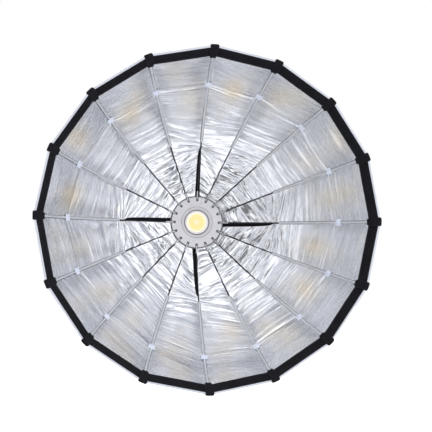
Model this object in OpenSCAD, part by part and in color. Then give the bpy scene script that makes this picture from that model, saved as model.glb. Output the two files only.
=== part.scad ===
// Umbrella reflector: a sixteen-rib folding dish on a slotted hub with a rear bayonet collar.
// Every module draws in the dish frame (x right, y up, z forward out of the mouth, origin at the centre of the
// rear seat); dish() turns that into the shared frame, with the mouth facing -Y.

/* [Dish] */
// Diameter across opposite rib-tip pockets
rim_d = 900; // [800:10:1000]
// Depth from the front of the hub plate to the rim
dish_depth = 345; // [300:5:400]
// Outward bow of a rib off its straight chord
rib_bow = 50; // [40:1:60]
// Rod diameter
rod_d = 3; // [2.6:0.1:3.2]
// Canopy thickness, silver lining and black outside together
cloth_t = 1.2; // [0.8:0.1:1.6]
// Radius at which a rod goes into its sleeve
sleeve_from_r = 235; // [200:5:300]
// Radius of the keeper on each rib
keeper_r = 370; // [330:5:390]
// Radius at which the black slits end
slit_to_r = 213; // [180:1:240]

/* [Rim] */
// Depth of the black hem band behind the rim, along the dish axis
hem_depth = 33; // [26:1:40]
// Thickness of the hem band
hem_t = 1.2; // [0.8:0.1:1.4]
// Pale canopy edge left showing outside the hem
lip_w = 5; // [3:0.5:8]
// Width of a corner pocket
pocket_w = 25; // [20:1:30]
// Length of a corner pocket along the rib's radius
pocket_l = 27; // [24:1:32]

/* [Hub] */
// Diameter of the front plate
hub_d = 151; // [148:1:160]
// Thickness of the front plate
plate_t = 4; // [3:0.5:5]
// Thickness of the hub body
body_t = 22; // [20:0.5:26]
// Opening in the front plate
eye_d = 94; // [90:1:96]
// Hinge pin diameter
pin_d = 3; // [2.5:0.1:3.2]
// Radius of the circle that the hinge pins lie on
pin_r = 71; // [70:0.25:71.5]
// Width of a root fitting
root_w = 4.2; // [3.6:0.1:4.6]
// Length of a root fitting past its pin
root_l = 24; // [20:1:30]

/* [Bayonet] */
// Outer diameter of the collar
collar_d = 88; // [86:0.5:89]
// Reach of the collar behind the seat
collar_l = 16; // [14:0.5:20]
// Diameter across the lugs
lug_d = 97; // [95:0.5:99]
// Lug thickness
lug_t = 3; // [2.5:0.25:4]

/* [Lamp] */
// Diameter of the lamp barrel
barrel_d = 76.6; // [74:0.2:77.2]
// Width of the bezel ring
bezel_w = 9.5; // [9:0.25:10.5]
// Width of the white ring and its gasket round the phosphor disc
ring_w = 7.5; // [6.5:0.5:10]

/* [Clearances] */
// Running clearance of a root on its pin, radial
pin_play = 0.05; // [0.02:0.01:0.08]
// Gap between pieces that move past each other
move_gap = 0.4; // [0.3:0.05:0.6]
// Gap between pieces that stay together
seat_gap = 0.1; // [0.05:0.05:0.2]

/* [Hidden] */
$fn = 96;

ribs = 16;
pitch = 360 / ribs;
half = pitch / 2;
slit_every = ribs / 4;

hub_r = hub_d / 2;
body_r = hub_r - 0.5;
plate_z = body_t;
face_z = body_t + plate_t;
rim_z = face_z + dish_depth;
rim_r = rim_d / 2;
neck_r = hub_r + 3;

// Hinge
pin_z = body_t - pin_d / 2 - seat_gap;
pin_l = 14;
eye_r = pin_d / 2 + 2.1;
slot_w = root_w + 2 * move_gap;
slot_in_r = pin_r - eye_r - 2.9;
slot_floor_z = pin_z - eye_r - 1.9;

// The rib's arc, drawn in a plane of x = radius and y = height over the seat
root_p = [pin_r, pin_z];
tip_p = [rim_r - 8, rim_z - 7];
chord = tip_p - root_p;
chord_l = norm(chord);
arc_r = (chord_l * chord_l / 4 + rib_bow * rib_bow) / (2 * rib_bow);
inward = [-chord[1], chord[0]] / chord_l;
arc_c = (root_p + tip_p) / 2 + inward * (arc_r - rib_bow);
root_a = atan2(root_p[1] - arc_c[1], root_p[0] - arc_c[0]);
tip_a = atan2(tip_p[1] - arc_c[1], tip_p[0] - arc_c[0]);
socket_l = 14;
root_dir = root_a + 90 + deg_for(root_l / 2);
root_back = rod_d / 2 + 0.4;
root_front = rod_d / 2 + 1.1;

// Canopy: lining face to rod axis, measured outward at the rib
cloth_off = rod_d / 2 + 0.8;
flange_z = rim_z - 2.4;
panel_gap = 0.2;
sleeve_t = 0.6;
sleeve_in = rod_d / 2 + 0.15;
sleeve_out = sleeve_in + sleeve_t + move_gap;
keeper_l = 12;
keeper_w = 12;
keeper_t = 1.1;
flap_t = 1;

// Rim
lip_ap = cloth_ap(cloth_off + cloth_t, flange_z);
hem_z = flange_z - cloth_t - seat_gap;
lining_off = cloth_off - move_gap;
pocket_r = 3;
pocket_back = 13;
pocket_proud = 0.8;
pocket_bore_d = rod_d + 0.6;
pocket_in = pocket_bore_d / 2 + 1;
cap_l = 17;

// Hub parts
bezel_in_d = eye_d - 2 * bezel_w;
emitter_d = bezel_in_d - 2 * ring_w;
bore_d = barrel_d + 4 * seat_gap;
lamp_flange_d = eye_d + 5;
lamp_step_z = body_t - 7;
flange_t = 4;
flange_sink = 0.5;
collar_flange_d = lug_d + 7;
collar_in_d = bore_d;
pilot_d = collar_d - 2;
shoulder_z = -8;
lug_z = shoulder_z + 0.5;
lug_span = 34;
screw_d = 3;
screw_head_d = 5.6;
plate_screw_r = 57.6;
collar_screw_r = (collar_d + collar_flange_d) / 4;

silver = [0.78, 0.79, 0.8];
black = [0.05, 0.05, 0.055];
grey = [0.6, 0.61, 0.63];
steel = [0.3, 0.31, 0.33];

function two(i) = i < 10 ? str("0", i) : str(i);
function deg_for(length) = length / arc_r * 180 / PI;
// Arc angle at which the rod lies at radius r from the dish axis
function arc_at(r) = -acos((r - arc_c[0]) / arc_r);
// A point at an outward offset from the rod, carried to the middle of the gore
function gore_pt(a, off) =
    let (p = arc_c + (arc_r + off) * [cos(a), sin(a)]) [p[0] * cos(half), p[1]];
// Circle through three points: [centre x, centre y, radius]
function circle3(p, q, s) =
    let (d = 2 * (p[0] * (q[1] - s[1]) + q[0] * (s[1] - p[1]) + s[0] * (p[1] - q[1])),
         x = ((p * p) * (q[1] - s[1]) + (q * q) * (s[1] - p[1]) + (s * s) * (p[1] - q[1])) / d,
         y = ((p * p) * (s[0] - q[0]) + (q * q) * (p[0] - s[0]) + (s * s) * (q[0] - p[0])) / d)
    [x, y, norm(p - [x, y])];
// The gore's profile circle at an outward offset from the rods
function gore_circle(off) =
    circle3(gore_pt(root_a, off), gore_pt((root_a + tip_a) / 2, off), gore_pt(tip_a, off));
// Distance from the dish axis to that profile at height z
function cloth_ap(off, z) =
    let (c = gore_circle(off)) c[0] + sqrt(c[2] * c[2] - (z - c[1]) * (z - c[1]));

// Frames
module dish() rotate([90, 0, 0]) children();
// Rib i, clockwise from the top as seen from the front: x outward, y anticlockwise
module station(i) rotate([0, 0, 90 - (i - 1) * pitch]) children();
// Turns a drawing of radius and height into the rib's plane
module rib_plane() rotate([90, 0, 0]) children();
// Sweeps a section along the rod between two arc angles: section x is outward from the rod, y across it
module along_rib(a0, a1)
    rib_plane() translate([arc_c[0], arc_c[1], 0]) rotate([0, 0, a0])
        rotate_extrude(angle = a1 - a0, $fn = 360) translate([arc_r, 0]) children();

// Hub
module root_slot(z0, z1) {
    translate([slot_in_r + slot_w / 2, -slot_w / 2, z0]) cube([hub_r, slot_w, z1 - z0]);
    translate([slot_in_r + slot_w / 2, 0, z0]) cylinder(d = slot_w, h = z1 - z0);
}

module plate_screw_places()
    for (a = [0, 180]) rotate([0, 0, 90 - half + a]) translate([plate_screw_r, 0, 0]) children();

module collar_screw_places()
    for (k = [0:2]) rotate([0, 0, 60 + k * 120]) translate([collar_screw_r, 0, 0]) children();

module front_plate() color(grey) difference() {
    rotate_extrude() polygon([[eye_d / 2 + 0.6, plate_z], [hub_r, plate_z], [hub_r, face_z - 0.8],
        [hub_r - 0.8, face_z], [eye_d / 2 + 0.6, face_z], [eye_d / 2, face_z - 0.6], [eye_d / 2, plate_z + 0.6]]);
    for (i = [1:ribs]) station(i) root_slot(plate_z - 1, face_z + 1);
    plate_screw_places() {
        translate([0, 0, plate_z - 1]) cylinder(d = screw_d + 4 * seat_gap, h = plate_t + 2);
        translate([0, 0, face_z - 1.8]) cylinder(d1 = screw_d + 4 * seat_gap, d2 = screw_head_d + 4 * seat_gap, h = 1.9);
    }
}

module hub_body() color(grey * 0.75) difference() {
    rotate_extrude() polygon([[bore_d / 2, 0], [body_r - 1, 0], [body_r, 1], [body_r, body_t],
        [bore_d / 2, body_t]]);
    translate([0, 0, lamp_step_z]) cylinder(d = lamp_flange_d + 2 * seat_gap, h = body_t);
    translate([0, 0, -1]) cylinder(d = collar_flange_d + 2 * seat_gap, h = flange_t + 1);
    for (i = [1:ribs]) station(i) {
        root_slot(slot_floor_z, body_t + 1);
        translate([pin_r, 0, pin_z]) rotate([90, 0, 0])
            cylinder(d = pin_d + 2 * seat_gap, h = pin_l + 2 * seat_gap, center = true);
        translate([pin_r - pin_d / 2 - seat_gap, -pin_l / 2 - seat_gap, pin_z])
            cube([pin_d + 2 * seat_gap, pin_l + 2 * seat_gap, body_t]);
    }
    plate_screw_places() translate([0, 0, body_t - 10]) cylinder(d = screw_d + 2 * seat_gap, h = 11);
    collar_screw_places() translate([0, 0, flange_t - 1]) cylinder(d = screw_d + 2 * seat_gap, h = 8);
}

module hinge_pins() color(steel) for (i = [1:ribs]) station(i)
    translate([pin_r, 0, pin_z]) rotate([90, 0, 0]) cylinder(d = pin_d, h = pin_l, center = true);

module plate_screws() color(steel) plate_screw_places() difference() {
    union() {
        translate([0, 0, body_t - 9]) cylinder(d = screw_d, h = plate_t + 8);
        translate([0, 0, face_z - 1.8]) cylinder(d1 = screw_d, d2 = screw_head_d, h = 1.6);
    }
    translate([0, 0, face_z - 1.1]) cylinder(d = 2.2, h = 2, $fn = 6);
}

module bayonet_collar() color(grey * 0.85) difference() {
    union() {
        rotate_extrude() polygon([[collar_in_d / 2, -collar_l], [pilot_d / 2 - 0.8, -collar_l],
            [pilot_d / 2, 0.8 - collar_l], [pilot_d / 2, shoulder_z], [collar_d / 2, shoulder_z],
            [collar_d / 2, flange_sink], [collar_flange_d / 2, flange_sink], [collar_flange_d / 2, flange_t],
            [collar_in_d / 2, flange_t]]);
        for (k = [0:2]) rotate([0, 0, k * 120 - lug_span / 2]) translate([0, 0, lug_z])
            rotate_extrude(angle = lug_span) translate([collar_d / 2 - 1, 0])
                square([(lug_d - collar_d) / 2 + 1, lug_t]);
    }
    collar_screw_places() {
        translate([0, 0, flange_sink - 1]) cylinder(d = screw_head_d + 2 * seat_gap, h = 3);
        cylinder(d = screw_d + 2 * seat_gap, h = flange_t + 1);
    }
}

module collar_screws() color(steel) collar_screw_places() difference() {
    union() {
        translate([0, 0, flange_sink]) cylinder(d = screw_head_d, h = 2);
        translate([0, 0, flange_sink]) cylinder(d = screw_d, h = flange_t + 5);
    }
    translate([0, 0, -1]) cylinder(d = 2.5, h = 2.7, $fn = 6);
}

// Lamp
module lamp_body() color(grey * 0.7) difference() {
    union() {
        translate([0, 0, 1.5 - collar_l]) cylinder(d = barrel_d, h = lamp_step_z + collar_l);
        translate([0, 0, lamp_step_z]) cylinder(d = lamp_flange_d, h = flange_t);
    }
    translate([0, 0, 1 - collar_l]) difference() {
        cylinder(d = 12, h = 10);
        translate([0, 0, 2]) cylinder(d = 2.4, h = 9);
    }
}

module lamp_bezel() color(grey * 0.9) {
    z0 = lamp_step_z + flange_t;
    rotate_extrude() polygon([[bezel_in_d / 2, z0], [lamp_flange_d / 2, z0], [lamp_flange_d / 2, plate_z],
        [eye_d / 2 - seat_gap, plate_z], [eye_d / 2 - seat_gap, face_z - 1.4], [eye_d / 2 - 0.9, face_z - 0.6],
        [bezel_in_d / 2 + 5, face_z - 0.6], [bezel_in_d / 2 + 0.8, face_z - 3.2], [bezel_in_d / 2, face_z - 3.2]]);
}

module lamp_gasket() color(black) {
    z0 = lamp_step_z + flange_t;
    translate([0, 0, z0]) rotate_extrude() translate([bezel_in_d / 2 - 2.4, 0]) square([2.3, 4]);
}

module lamp_reflector() color([0.95, 0.95, 0.94]) {
    z0 = lamp_step_z + flange_t;
    rotate_extrude() polygon([[emitter_d / 2 + 0.1, z0], [bezel_in_d / 2 - 2.5, z0], [bezel_in_d / 2 - 2.5, z0 + 3.4],
        [bezel_in_d / 2 - 3.1, z0 + 3.4], [emitter_d / 2 + 0.1, z0 + 1.6]]);
}

module lamp_emitter() color([0.95, 0.75, 0.15]) {
    r = emitter_d / 2;
    translate([0, 0, lamp_step_z + flange_t]) rotate_extrude()
        polygon([[0, 0], [r, 0], [r, 1], [r - 0.6, 1.5], [0.7 * r, 2.1], [0.4 * r, 2.4], [0, 2.5]]);
}

// Rib: root fitting on its pin, and the rod in it
module rib(i) station(i) {
    color(grey * 1.2) difference() {
        rib_plane() linear_extrude(height = root_w, center = true) difference() {
            union() {
                translate(root_p) circle(r = eye_r);
                translate(root_p) rotate(root_dir) translate([0, -root_back])
                    square([root_l, root_back + root_front]);
                translate([body_r + move_gap, pin_z - 4]) square([2, 5]);
            }
            translate(root_p) circle(d = pin_d + 2 * pin_play);
        }
        along_rib(root_a + deg_for(root_l - socket_l), root_a + deg_for(root_l + 2))
            circle(d = rod_d + 2 * pin_play);
    }
    color(steel) along_rib(root_a + deg_for(root_l - socket_l + 0.2), tip_a) circle(d = rod_d);
}

// Canopy
// A gore's profile band at an outward offset from the rods
module gore_band(off, t) {
    c = gore_circle(off);
    intersection() {
        translate([c[0], c[1]]) difference() {
            circle(r = c[2] + t, $fn = 720);
            circle(r = c[2], $fn = 720);
        }
        translate([hub_r / 2, -rim_z / 2]) square([rim_r, rim_z / 2 + flange_z]);
    }
}

// The wedge between a rib's plane and the middle of the gore beside it
module wedge()
    polygon([[panel_gap / tan(half), 0], [rim_d, 0], [rim_d, rim_d * tan(half) - panel_gap]]);

// A band of the canopy on both sides of the rib
module chevron(off, t) for (m = [0, 1]) mirror([0, m, 0]) intersection() {
    translate([0, 0, -rim_z]) linear_extrude(height = 3 * rim_z) wedge();
    rotate([0, 0, half]) rib_plane() linear_extrude(height = rim_d, center = true) {
        gore_band(off, t);
        children();
    }
}

// Outline of the slit beside a rib, grown by g for the flap behind it
module slit_outline(g)
    polygon([[neck_r - 3, 2.5 + g], [slit_to_r, g - 1], [slit_to_r + 2 * g, -1], [slit_to_r, -1 - g],
        [neck_r - 3, -11 - g]]);

// Plan of a corner pocket: square corners over the rim, a round nose along the rib
module pocket_outline() hull() {
    translate([rim_r - pocket_l + 0.3 * pocket_w, 0]) circle(d = 0.6 * pocket_w, $fn = 32);
    for (x = [rim_r - cap_l, rim_r - 2 * pocket_r], y = [-pocket_w / 2, pocket_w / 2 - 2 * pocket_r])
        translate([x + pocket_r, y + pocket_r]) circle(r = pocket_r, $fn = 24);
}

// The part of that plan that goes over the rim
module cap_outline() intersection() {
    pocket_outline();
    translate([rim_r - cap_l, -pocket_w]) square([cap_l, 2 * pocket_w]);
}

// A cover over the rod: round in front, legs down to the cloth
module hat(inner, outer, leg) difference() {
    union() {
        circle(r = outer);
        translate([0, -outer]) square([leg, 2 * outer]);
    }
    circle(r = inner);
    translate([0, -inner]) square([outer + leg, 2 * inner]);
    translate([leg, -outer - 1]) square([outer + leg, 2 * outer + 2]);
}

module panel(i) station(i) color(silver) {
    difference() {
        chevron(cloth_off, cloth_t)
            translate([lip_ap - lip_w, flange_z - cloth_t]) square([lip_w, cloth_t]);
        cylinder(r = neck_r, h = rim_z, center = true);
        translate([0, 0, rim_z - pocket_back - move_gap]) linear_extrude(height = rim_z)
            offset(r = move_gap) cap_outline();
        if ((i - 1) % slit_every == 0) linear_extrude(height = rim_z / 2) slit_outline(0);
    }
    along_rib(arc_at(sleeve_from_r), arc_at(rim_r - pocket_l) - deg_for(4))
        hat(sleeve_in, sleeve_in + sleeve_t, 1.5);
    a = arc_at(keeper_r);
    along_rib(a - deg_for(keeper_l / 2), a + deg_for(keeper_l / 2)) {
        hat(sleeve_in + sleeve_t + 0.15, sleeve_in + sleeve_t + keeper_t, 0.9);
        for (m = [0, 1]) mirror([0, m]) translate([0.1, sleeve_in + sleeve_t + 0.15])
            square([0.8, keeper_w / 2 - sleeve_in - sleeve_t - 0.15]);
    }
}

module trim(i) station(i) color(black) {
    difference() {
        union() {
            difference() {
                intersection() {
                    chevron(lining_off - hem_t, hem_t);
                    translate([0, 0, hem_z - hem_depth]) cylinder(r = rim_d, h = hem_depth);
                }
                along_rib(arc_at(keeper_r), tip_a + deg_for(10)) square(2 * sleeve_out, center = true);
            }
            intersection() {
                chevron(-pocket_in, pocket_in + lining_off);
                translate([0, 0, hem_z - rim_z]) linear_extrude(height = rim_z) pocket_outline();
            }
            translate([0, 0, rim_z - pocket_back]) linear_extrude(height = pocket_back + pocket_proud)
                cap_outline();
        }
        along_rib(arc_at(keeper_r), tip_a + deg_for(0.4)) circle(d = pocket_bore_d);
    }
    if ((i - 1) % slit_every == 0) difference() {
        intersection() {
            chevron(cloth_off + cloth_t + 0.3, flap_t);
            linear_extrude(height = rim_z / 2) slit_outline(6);
        }
        cylinder(r = neck_r, h = rim_z, center = true);
    }
}

dish() {
    front_plate();
    hub_body();
    hinge_pins();
    plate_screws();
    bayonet_collar();
    collar_screws();
    lamp_body();
    lamp_bezel();
    lamp_gasket();
    lamp_reflector();
    lamp_emitter();
    for (i = [1:ribs]) {
        rib(i);
        panel(i);
        trim(i);
    }
}
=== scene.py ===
# %% [markdown]
# # A folding umbrella reflector
#
# This is a round studio reflector. Silver-lined cloth is stretched over sixteen bowed steel rods, the rods
# are hinged to a slotted hub with a lamp in its middle, and a black hem with a pocket at each rod's tip
# closes the rim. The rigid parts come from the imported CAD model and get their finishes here. Everything
# sewn is modelled in this script, in metres, in the CAD model's own frame: X right, Z up, and the dish
# opens towards -Y.

# %% Load the CAD frame
import math

import bpy
import numpy as np
from mathutils import Matrix, Vector


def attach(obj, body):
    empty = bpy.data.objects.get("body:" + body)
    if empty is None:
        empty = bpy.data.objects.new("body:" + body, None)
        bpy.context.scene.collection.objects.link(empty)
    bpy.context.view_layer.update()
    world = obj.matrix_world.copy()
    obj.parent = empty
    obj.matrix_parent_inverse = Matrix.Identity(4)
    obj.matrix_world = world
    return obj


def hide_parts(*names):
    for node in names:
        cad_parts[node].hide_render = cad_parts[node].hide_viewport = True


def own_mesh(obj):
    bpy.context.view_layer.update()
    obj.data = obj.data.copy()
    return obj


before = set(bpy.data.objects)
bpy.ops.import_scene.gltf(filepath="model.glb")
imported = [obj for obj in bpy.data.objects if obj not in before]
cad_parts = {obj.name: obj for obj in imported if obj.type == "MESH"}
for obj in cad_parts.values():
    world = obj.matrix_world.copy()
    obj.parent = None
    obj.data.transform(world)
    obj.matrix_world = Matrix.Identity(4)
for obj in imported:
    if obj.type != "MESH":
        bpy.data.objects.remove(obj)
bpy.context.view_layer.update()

# %% [markdown]
# ## Camera
#
# The photograph looks straight into the dish from a little to one side. The lens and the place of the
# camera were found by fitting the sixteen rim corners, the hub and the keepers, so they are set as numbers
# and not by eye. A rotation of the object in front of a fixed camera is the same as the opposite rotation
# of the camera, which is why the matrix below is used transposed.

# %% Camera
RIM_F = 0.371
EYE_FROM_RIM = Vector((0.0086, 0.0063, 2.0))
yaw, pitch, roll = (math.radians(x) for x in (8.07, -2.09, -1.13))
turned = Matrix.Rotation(yaw, 3, "Y") @ Matrix.Rotation(pitch, 3, "X") @ Matrix.Rotation(roll, 3, "Z")
turned = turned.transposed()


def from_photo_axes(v):
    """X right, Y up, Z towards the viewer, as a vector of the CAD frame."""
    return Vector((v[0], -v[2], v[1]))


eye = from_photo_axes(turned @ EYE_FROM_RIM) + Vector((0, -RIM_F, 0))
axes = [from_photo_axes(turned @ Vector(a)) for a in ((1, 0, 0), (0, 1, 0), (0, 0, 1))]
lens = bpy.data.cameras.new("camera")
lens.lens, lens.sensor_width = 65.35, 36.0
camera = bpy.data.objects.new("camera", lens)
bpy.context.scene.collection.objects.link(camera)
camera.matrix_world = Matrix.Translation(eye) @ Matrix(axes).transposed().to_4x4()
bpy.context.scene.camera = camera
print("camera at", [round(x, 3) for x in eye])

# %% [markdown]
# ## Node helpers
#
# The room and every finish are node trees. These helpers add a node with its inputs in one line, whether an
# input is a plain value or another node's output.

# %% Nodes


def add_node(tree, kind, inputs=(), **settings):
    """A node with its settings, and its inputs set to a value or linked to another node's output."""
    made = tree.nodes.new(kind)
    for key, value in settings.items():
        setattr(made, key, value)
    for key, value in dict(inputs).items():
        if isinstance(value, bpy.types.NodeSocket):
            tree.links.new(value, made.inputs[key])
        else:
            made.inputs[key].default_value = value
    return made


def maths(tree, operation, a, b=0.0, clamp=False):
    """The output of a Math node."""
    return add_node(tree, "ShaderNodeMath", {0: a, 1: b}, operation=operation, use_clamp=clamp).outputs[0]


def ranged(tree, value, low, high, start=0.0, end=1.0):
    """A value taken from start..end to low..high."""
    return add_node(tree, "ShaderNodeMapRange", {0: value, 1: start, 2: end, 3: low, 4: high}).outputs[0]


def between(tree, factor, first, second):
    """A colour that goes from first to second with a factor."""
    ends = [c if isinstance(c, bpy.types.NodeSocket) else (*c, 1) for c in (first, second)]
    return add_node(tree, "ShaderNodeMix", {0: factor, 6: ends[0], 7: ends[1]}, data_type="RGBA").outputs[2]


def ramp(tree, value, stops):
    """A Color Ramp with its (place, colour) stops."""
    made = add_node(tree, "ShaderNodeValToRGB", {0: value})
    made.color_ramp.interpolation = "EASE"
    while len(made.color_ramp.elements) < len(stops):
        made.color_ramp.elements.new(0.5)
    for element, (place, colour) in zip(made.color_ramp.elements, stops):
        element.position, element.color = place, (*colour, 1)
    return made.outputs[0]


# %% Materials


def new_finish(name, **values):
    """A material, its node tree and its Principled shader, with plain values set on the shader's sockets."""
    made = bpy.data.materials.new(name)
    made.use_nodes = True
    shader = made.node_tree.nodes["Principled BSDF"]
    for key, value in values.items():
        shader.inputs[key.replace("_", " ")].default_value = value
    return made, made.node_tree, shader


def wire(tree, shader, **varying):
    """Links values that vary over the surface to the shader's sockets."""
    for key, value in varying.items():
        tree.links.new(value, shader.inputs[key.replace("_", " ")])


def bumped(tree, shader, height, strength, distance):
    """Bends the shader's normal by a height."""
    bump = add_node(tree, "ShaderNodeBump", {"Height": height, "Strength": strength, "Distance": distance})
    wire(tree, shader, Normal=bump.outputs["Normal"])


# %% [markdown]
# ## Studio
#
# Foil has hardly any colour of its own: what it shows is the room. A room that is white all round would
# wash out every crease, so this one is a set of rings round the camera: grey behind it, a white ring close
# by, a dark gap, then wide white panels. Cloth that lies true near the hub shows the panels, a crease that
# leans towards the camera shows the gap, and the outer half, which sees the room by way of the opposite
# side, shows the inner rings. The camera itself sees plain white. The lamps and the floor are hidden from
# the foil, so they put no squares into it, and the floor hangs well below the dish, so its soft shadow
# stays out of the photograph's frame.

# %% Room light
ROOM_TINT = (0.985, 0.99, 1.015)
world = bpy.data.worlds.new("studio")
bpy.context.scene.world = world
world.use_nodes = True
room = world.node_tree
room.nodes.clear()
way = add_node(room, "ShaderNodeTexCoord").outputs["Generated"]
split = add_node(room, "ShaderNodeSeparateXYZ", {0: way})
facing = add_node(room, "ShaderNodeVectorMath", {0: way, 1: axes[2]}, operation="DOT_PRODUCT")
turned_away = maths(room, "DIVIDE", maths(room, "ARCCOSINE", facing.outputs["Value"]), math.pi)
rings = [
    (0, 0.52), (7, 0.58), (11, 0.845), (19, 0.845), (23, 0.33), (26, 0.12), (39, 0.12), (43, 0.75),
    (50, 0.845), (73, 0.865), (86, 0.795), (104, 0.79), (180, 0.68),
]
shade = ramp(room, turned_away, [(turn / 180, [tint * level for tint in ROOM_TINT]) for turn, level in rings])
side_levels = [(0.0, 0.62), (0.25, 0.85), (0.5, 1.0), (0.8, 0.92), (1.0, 0.82)]
from_left = ranged(room, split.outputs["X"], 0.0, 1.0, -1.0, 1.0)
sideways = ramp(room, from_left, [(place, (level,) * 3) for place, level in side_levels])
strength = maths(room, "MULTIPLY", ranged(room, split.outputs["Z"], 1.82, 2.0, -1.0, 1.0), sideways)
by_camera = add_node(room, "ShaderNodeLightPath").outputs["Is Camera Ray"]
light = add_node(room, "ShaderNodeBackground", {"Color": shade, "Strength": strength}).outputs[0]
white = add_node(room, "ShaderNodeBackground", {"Color": (1, 1, 1, 1), "Strength": 1.0}).outputs[0]
chosen = add_node(room, "ShaderNodeMixShader", {0: by_camera, 1: light, 2: white})
add_node(room, "ShaderNodeOutputWorld", {0: chosen.outputs[0]})
print("room with", len(rings), "rings")

# %% Lamps


def softbox(name, place, target, size, watts):
    """A square area lamp that faces a point and doesn't show in the foil."""
    lamp = bpy.data.lights.new(name, "AREA")
    lamp.shape, lamp.size, lamp.energy = "SQUARE", size, watts
    holder = bpy.data.objects.new(name, lamp)
    bpy.context.scene.collection.objects.link(holder)
    holder.location = place
    holder.rotation_euler = (Vector(target) - Vector(place)).to_track_quat("-Z", "Y").to_euler()
    holder.visible_glossy = False


softbox("key_lamp", (-1.6, -3.2, 2.4), target=(0, -0.1, 0), size=3.0, watts=18)
softbox("fill_lamp", (2.6, -2.8, 0.2), target=(0, -0.1, 0), size=2.6, watts=10)
softbox("back_lamp", (0.6, 2.6, 2.0), target=(0, 0, 0), size=2.4, watts=40)

# %% Floor
FLOOR_Z = -0.78
bpy.ops.object.select_all(action="DESELECT")
bpy.ops.mesh.primitive_plane_add(size=14, location=(0, 0, FLOOR_Z))
floor = bpy.context.object
floor.name = "floor"
floor.visible_glossy = False
pale, tree, paint = new_finish("pale_floor", Base_Color=(0.86, 0.86, 0.87, 1), Roughness=0.8)
paint.inputs["Emission Color"].default_value = (1, 1, 1, 1)
by_camera = add_node(tree, "ShaderNodeLightPath").outputs["Is Camera Ray"]
wire(tree, paint, Emission_Strength=maths(tree, "MULTIPLY", by_camera, 0.55))
floor.data.materials.append(pale)

# %% [markdown]
# ## Shared surface effects
#
# Several finishes here share an effect: the black cloths and the pale binding are woven, the sleeve tape
# and the black cloths carry a row of stitches, and every finish but the floor's has a fine and a broad
# grain. Each effect is a node group that is built once and placed with its own values. A group only gives
# out values that vary over the surface; the shader stays in the material, where an exporter can read it.

# %% Node group helpers


def new_group(name, inputs, outputs):
    """An empty shader node group with float or vector inputs (name, default) and float outputs."""
    group = bpy.data.node_groups.new(name, "ShaderNodeTree")
    for label, value in inputs:
        kind = "NodeSocketVector" if value is None else "NodeSocketFloat"
        socket = group.interface.new_socket(label, in_out="INPUT", socket_type=kind)
        if value is not None:
            socket.default_value = value
    for label in outputs:
        group.interface.new_socket(label, in_out="OUTPUT", socket_type="NodeSocketFloat")
    return group, add_node(group, "NodeGroupInput").outputs, add_node(group, "NodeGroupOutput").inputs


def group_in(tree, group, inputs=()):
    """The outputs of a node group placed in a material."""
    return add_node(tree, "ShaderNodeGroup", inputs, node_tree=group).outputs


# %% Weave
weave, take, give = new_group("weave", [("Vector", None), ("Threads", 1500.0)], ["Height"])
scaled = add_node(weave, "ShaderNodeVectorMath", {0: take["Vector"], 3: take["Threads"]}, operation="SCALE")
thread = add_node(weave, "ShaderNodeSeparateXYZ", {0: scaled.outputs[0]}).outputs
crossed = maths(weave, "MULTIPLY", maths(weave, "SINE", thread[0]), maths(weave, "SINE", thread[1]))
weave.links.new(maths(weave, "MULTIPLY_ADD", crossed, 0.5), give["Height"])

# %% Stitches
STITCH_SHARE = 0.68
stitch_inputs = [("Along", 0.0), ("Across", 0.0), ("Line", 0.004), ("Pitch", 0.0045), ("Width", 0.0009)]
stitches, take, give = new_group("stitches", stitch_inputs, ["Mask"])
from_middle = maths(stitches, "ABSOLUTE", take["Across"])
off_line = maths(stitches, "ABSOLUTE", maths(stitches, "SUBTRACT", from_middle, take["Line"]))
on_line = maths(stitches, "LESS_THAN", off_line, take["Width"])
stride = maths(stitches, "FRACT", maths(stitches, "DIVIDE", take["Along"], take["Pitch"]))
in_stitch = maths(stitches, "LESS_THAN", stride, STITCH_SHARE)
stitches.links.new(maths(stitches, "MULTIPLY", on_line, in_stitch), give["Mask"])

# %% Grain
grain_inputs = [("Vector", None), ("Fine", 900.0), ("Broad", 14.0)]
grain, take, give = new_group("grain", grain_inputs, ["Fine", "Broad"])
for label in ("Fine", "Broad"):
    speckle = {"Vector": take["Vector"], "Scale": take[label], "Detail": 3.0, "Roughness": 0.55}
    grain.links.new(add_node(grain, "ShaderNodeTexNoise", speckle).outputs["Fac"], give[label])


def grain_in(tree, vector, fine, broad):
    """The fine and the broad grain at a place."""
    made = group_in(tree, grain, {"Vector": vector, "Fine": fine, "Broad": broad})
    return made["Fine"], made["Broad"]


print("groups:", [g.name for g in bpy.data.node_groups])

# %% Plain finishes


def object_place(tree):
    """A point's place in the object's own frame."""
    return add_node(tree, "ShaderNodeTexCoord").outputs["Object"]


def speckled(name, grains, dark, light, rough, bump, spread=(0.3, 0.7), **values):
    """A finish whose colour, gloss and bump follow the grain."""
    made, tree, shader = new_finish(name, **values)
    fine, broad = grain_in(tree, object_place(tree), *grains)
    gloss = ranged(tree, fine, *rough, *spread)
    wire(tree, shader, Base_Color=between(tree, broad, dark, light), Roughness=gloss)
    bumped(tree, shader, fine, *bump)
    return made


# %% [markdown]
# ## The dish in numbers
#
# The cloth has to lie on the rods wherever they are, so its shape is worked out from the same few sizes as
# the CAD source: the rod is an arc from the hinge to the tip, and each gore, the cloth between two rods, is
# part of a cylinder whose profile is that arc carried to the middle of the gore. A point of a gore is named
# by its place across, from 0 at the anticlockwise rod to 1 at the clockwise one, and by the angle along its
# profile. A name that ends in R is a distance from the dish axis or a radius, and one that ends in F is a
# height in front of the seat.

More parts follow.
